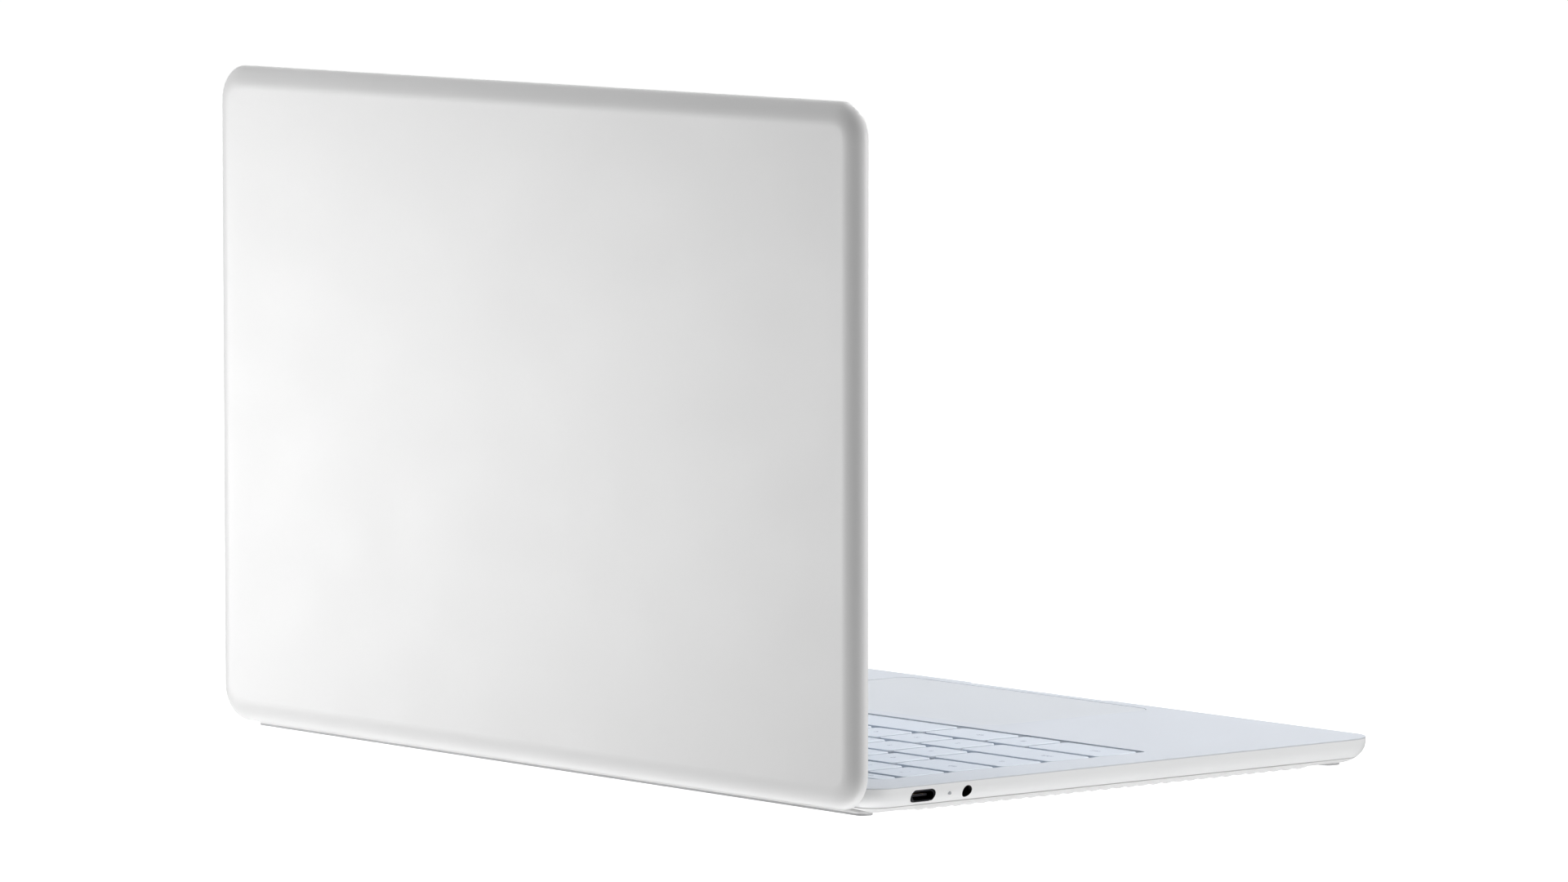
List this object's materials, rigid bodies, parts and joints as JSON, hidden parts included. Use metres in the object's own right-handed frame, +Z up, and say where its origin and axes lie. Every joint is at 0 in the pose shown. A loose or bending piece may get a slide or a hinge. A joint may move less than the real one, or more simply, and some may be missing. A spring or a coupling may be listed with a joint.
{
  "type": "laptop computer",
  "caption": "Slim clamshell laptop computer with a friction-hinged display lid, sprung keyboard and trackpad, side ports and a rippled underside on two long rubber feet.",
  "frame": {"origin": "on the desk, under the middle of the open laptop's box", "axes": "+X to the user's right along the hinge, +Y away from the user, +Z up"},
  "size_m": [0.311, 0.2086, 0.2085],
  "materials": {
    "lid_paint": "satin",
    "case_paint": "satin",
    "cover_paint": "satin",
    "foot_rubber": "matte",
    "key_plastic": "matte",
    "plate_paint": "matte",
    "dome_rubber": "matte",
    "circuit_board": "satin",
    "copper": "satin",
    "cell_foil": "matte",
    "black_plastic": "matte",
    "steel": "satin",
    "light_pipe": "gloss",
    "pad_glass": "satin",
    "screen_glass": "gloss",
    "gasket_rubber": "matte",
    "panel": "satin"
  },
  "bodies": {
    "base": {"top_case": "case_paint", "bottom_cover": "cover_paint", "front_foot": "foot_rubber", "rear_foot": "foot_rubber", "cover_screws": "steel", "keyboard_plate": "plate_paint", "key_membrane": "dome_rubber", "key_domes": "dome_rubber", "mainboard": "circuit_board", "board_screws": "steel", "heat_spreader": "copper", "battery_cells": "cell_foil", "battery_board": "circuit_board", "speaker_left": "black_plastic", "speaker_right": "black_plastic", "usb_c_port_left": "steel", "usb_c_port_right": "steel", "headphone_jack": "black_plastic", "status_lights": "light_pipe", "trackpad_bracket": "steel", "hinge_leaf_left": "steel", "hinge_leaf_right": "steel", "hinge_leaf_screws": "steel", "hinge_washers": "steel"},
    "lid": {"lid_cover": "lid_paint", "lid_hinge_strip": "black_plastic", "cover_glass": "screen_glass", "bezel_gasket": "gasket_rubber", "display_panel": "panel", "display_board": "circuit_board", "camera_module": "black_plastic", "microphones": "black_plastic", "wifi_aerials": "black_plastic", "lid_magnets": "steel", "lid_bracket_left": "steel", "lid_bracket_right": "steel", "lid_bracket_screws": "steel", "hinge_pins": "steel"},
    "trackpad": {"trackpad_glass": "pad_glass", "trackpad_board": "circuit_board"},
    "function_keys": {"function_keys": "key_plastic"},
    "power_key": {"power_key": "key_plastic"},
    "number_row_keys": {"number_row_keys": "key_plastic"},
    "backspace_key": {"backspace_key": "key_plastic"},
    "tab_key": {"tab_key": "key_plastic"},
    "q_row_keys": {"q_row_keys": "key_plastic"},
    "search_key": {"search_key": "key_plastic"},
    "a_row_keys": {"a_row_keys": "key_plastic"},
    "enter_key": {"enter_key": "key_plastic"},
    "left_shift_key": {"left_shift_key": "key_plastic"},
    "z_row_keys": {"z_row_keys": "key_plastic"},
    "right_shift_key": {"right_shift_key": "key_plastic"},
    "modifier_keys": {"modifier_keys": "key_plastic"},
    "space_bar": {"space_bar": "key_plastic"},
    "arrow_keys": {"arrow_keys": "key_plastic"}
  },
  "joints": [
    {"name": "lid_hinge", "type": "hinge", "parent": "base", "child": "lid", "pos_m": [0, 0.09753, 0.00665], "axis": [-1, 0, 0], "range_deg": [-90, 45]},
    {"name": "trackpad_press", "type": "hinge", "parent": "base", "child": "trackpad", "pos_m": [0, -0.03122, 0.0071], "axis": [1, 0, 0], "range_deg": [0, 0.34], "stiffness_Nm_per_rad": 6, "springref_deg": -0.34},
    {"name": "function_keys_press", "type": "slide", "parent": "base", "child": "function_keys", "axis": [0, 0, -1], "range_m": [0, 0.0012], "stiffness_N_per_m": 1950, "springref_m": -0.0012, "deforming": ["key_domes"]},
    {"name": "power_key_press", "type": "slide", "parent": "base", "child": "power_key", "axis": [0, 0, -1], "range_m": [0, 0.0012], "stiffness_N_per_m": 150, "springref_m": -0.0012, "deforming": ["key_domes"]},
    {"name": "number_row_keys_press", "type": "slide", "parent": "base", "child": "number_row_keys", "axis": [0, 0, -1], "range_m": [0, 0.0012], "stiffness_N_per_m": 1950, "springref_m": -0.0012, "deforming": ["key_domes"]},
    {"name": "backspace_key_press", "type": "slide", "parent": "base", "child": "backspace_key", "axis": [0, 0, -1], "range_m": [0, 0.0012], "stiffness_N_per_m": 150, "springref_m": -0.0012, "deforming": ["key_domes"]},
    {"name": "tab_key_press", "type": "slide", "parent": "base", "child": "tab_key", "axis": [0, 0, -1], "range_m": [0, 0.0012], "stiffness_N_per_m": 150, "springref_m": -0.0012, "deforming": ["key_domes"]},
    {"name": "q_row_keys_press", "type": "slide", "parent": "base", "child": "q_row_keys", "axis": [0, 0, -1], "range_m": [0, 0.0012], "stiffness_N_per_m": 1950, "springref_m": -0.0012, "deforming": ["key_domes"]},
    {"name": "search_key_press", "type": "slide", "parent": "base", "child": "search_key", "axis": [0, 0, -1], "range_m": [0, 0.0012], "stiffness_N_per_m": 150, "springref_m": -0.0012, "deforming": ["key_domes"]},
    {"name": "a_row_keys_press", "type": "slide", "parent": "base", "child": "a_row_keys", "axis": [0, 0, -1], "range_m": [0, 0.0012], "stiffness_N_per_m": 1650, "springref_m": -0.0012, "deforming": ["key_domes"]},
    {"name": "enter_key_press", "type": "slide", "parent": "base", "child": "enter_key", "axis": [0, 0, -1], "range_m": [0, 0.0012], "stiffness_N_per_m": 150, "springref_m": -0.0012, "deforming": ["key_domes"]},
    {"name": "left_shift_key_press", "type": "slide", "parent": "base", "child": "left_shift_key", "axis": [0, 0, -1], "range_m": [0, 0.0012], "stiffness_N_per_m": 150, "springref_m": -0.0012, "deforming": ["key_domes"]},
    {"name": "z_row_keys_press", "type": "slide", "parent": "base", "child": "z_row_keys", "axis": [0, 0, -1], "range_m": [0, 0.0012], "stiffness_N_per_m": 1500, "springref_m": -0.0012, "deforming": ["key_domes"]},
    {"name": "right_shift_key_press", "type": "slide", "parent": "base", "child": "right_shift_key", "axis": [0, 0, -1], "range_m": [0, 0.0012], "stiffness_N_per_m": 150, "springref_m": -0.0012, "deforming": ["key_domes"]},
    {"name": "modifier_keys_press", "type": "slide", "parent": "base", "child": "modifier_keys", "axis": [0, 0, -1], "range_m": [0, 0.0012], "stiffness_N_per_m": 750, "springref_m": -0.0012, "deforming": ["key_domes"]},
    {"name": "space_bar_press", "type": "slide", "parent": "base", "child": "space_bar", "axis": [0, 0, -1], "range_m": [0, 0.0012], "stiffness_N_per_m": 150, "springref_m": -0.0012, "deforming": ["key_domes"]},
    {"name": "arrow_keys_press", "type": "slide", "parent": "base", "child": "arrow_keys", "axis": [0, 0, -1], "range_m": [0, 0.0012], "stiffness_N_per_m": 600, "springref_m": -0.0012, "deforming": ["key_domes"]}
  ]
}
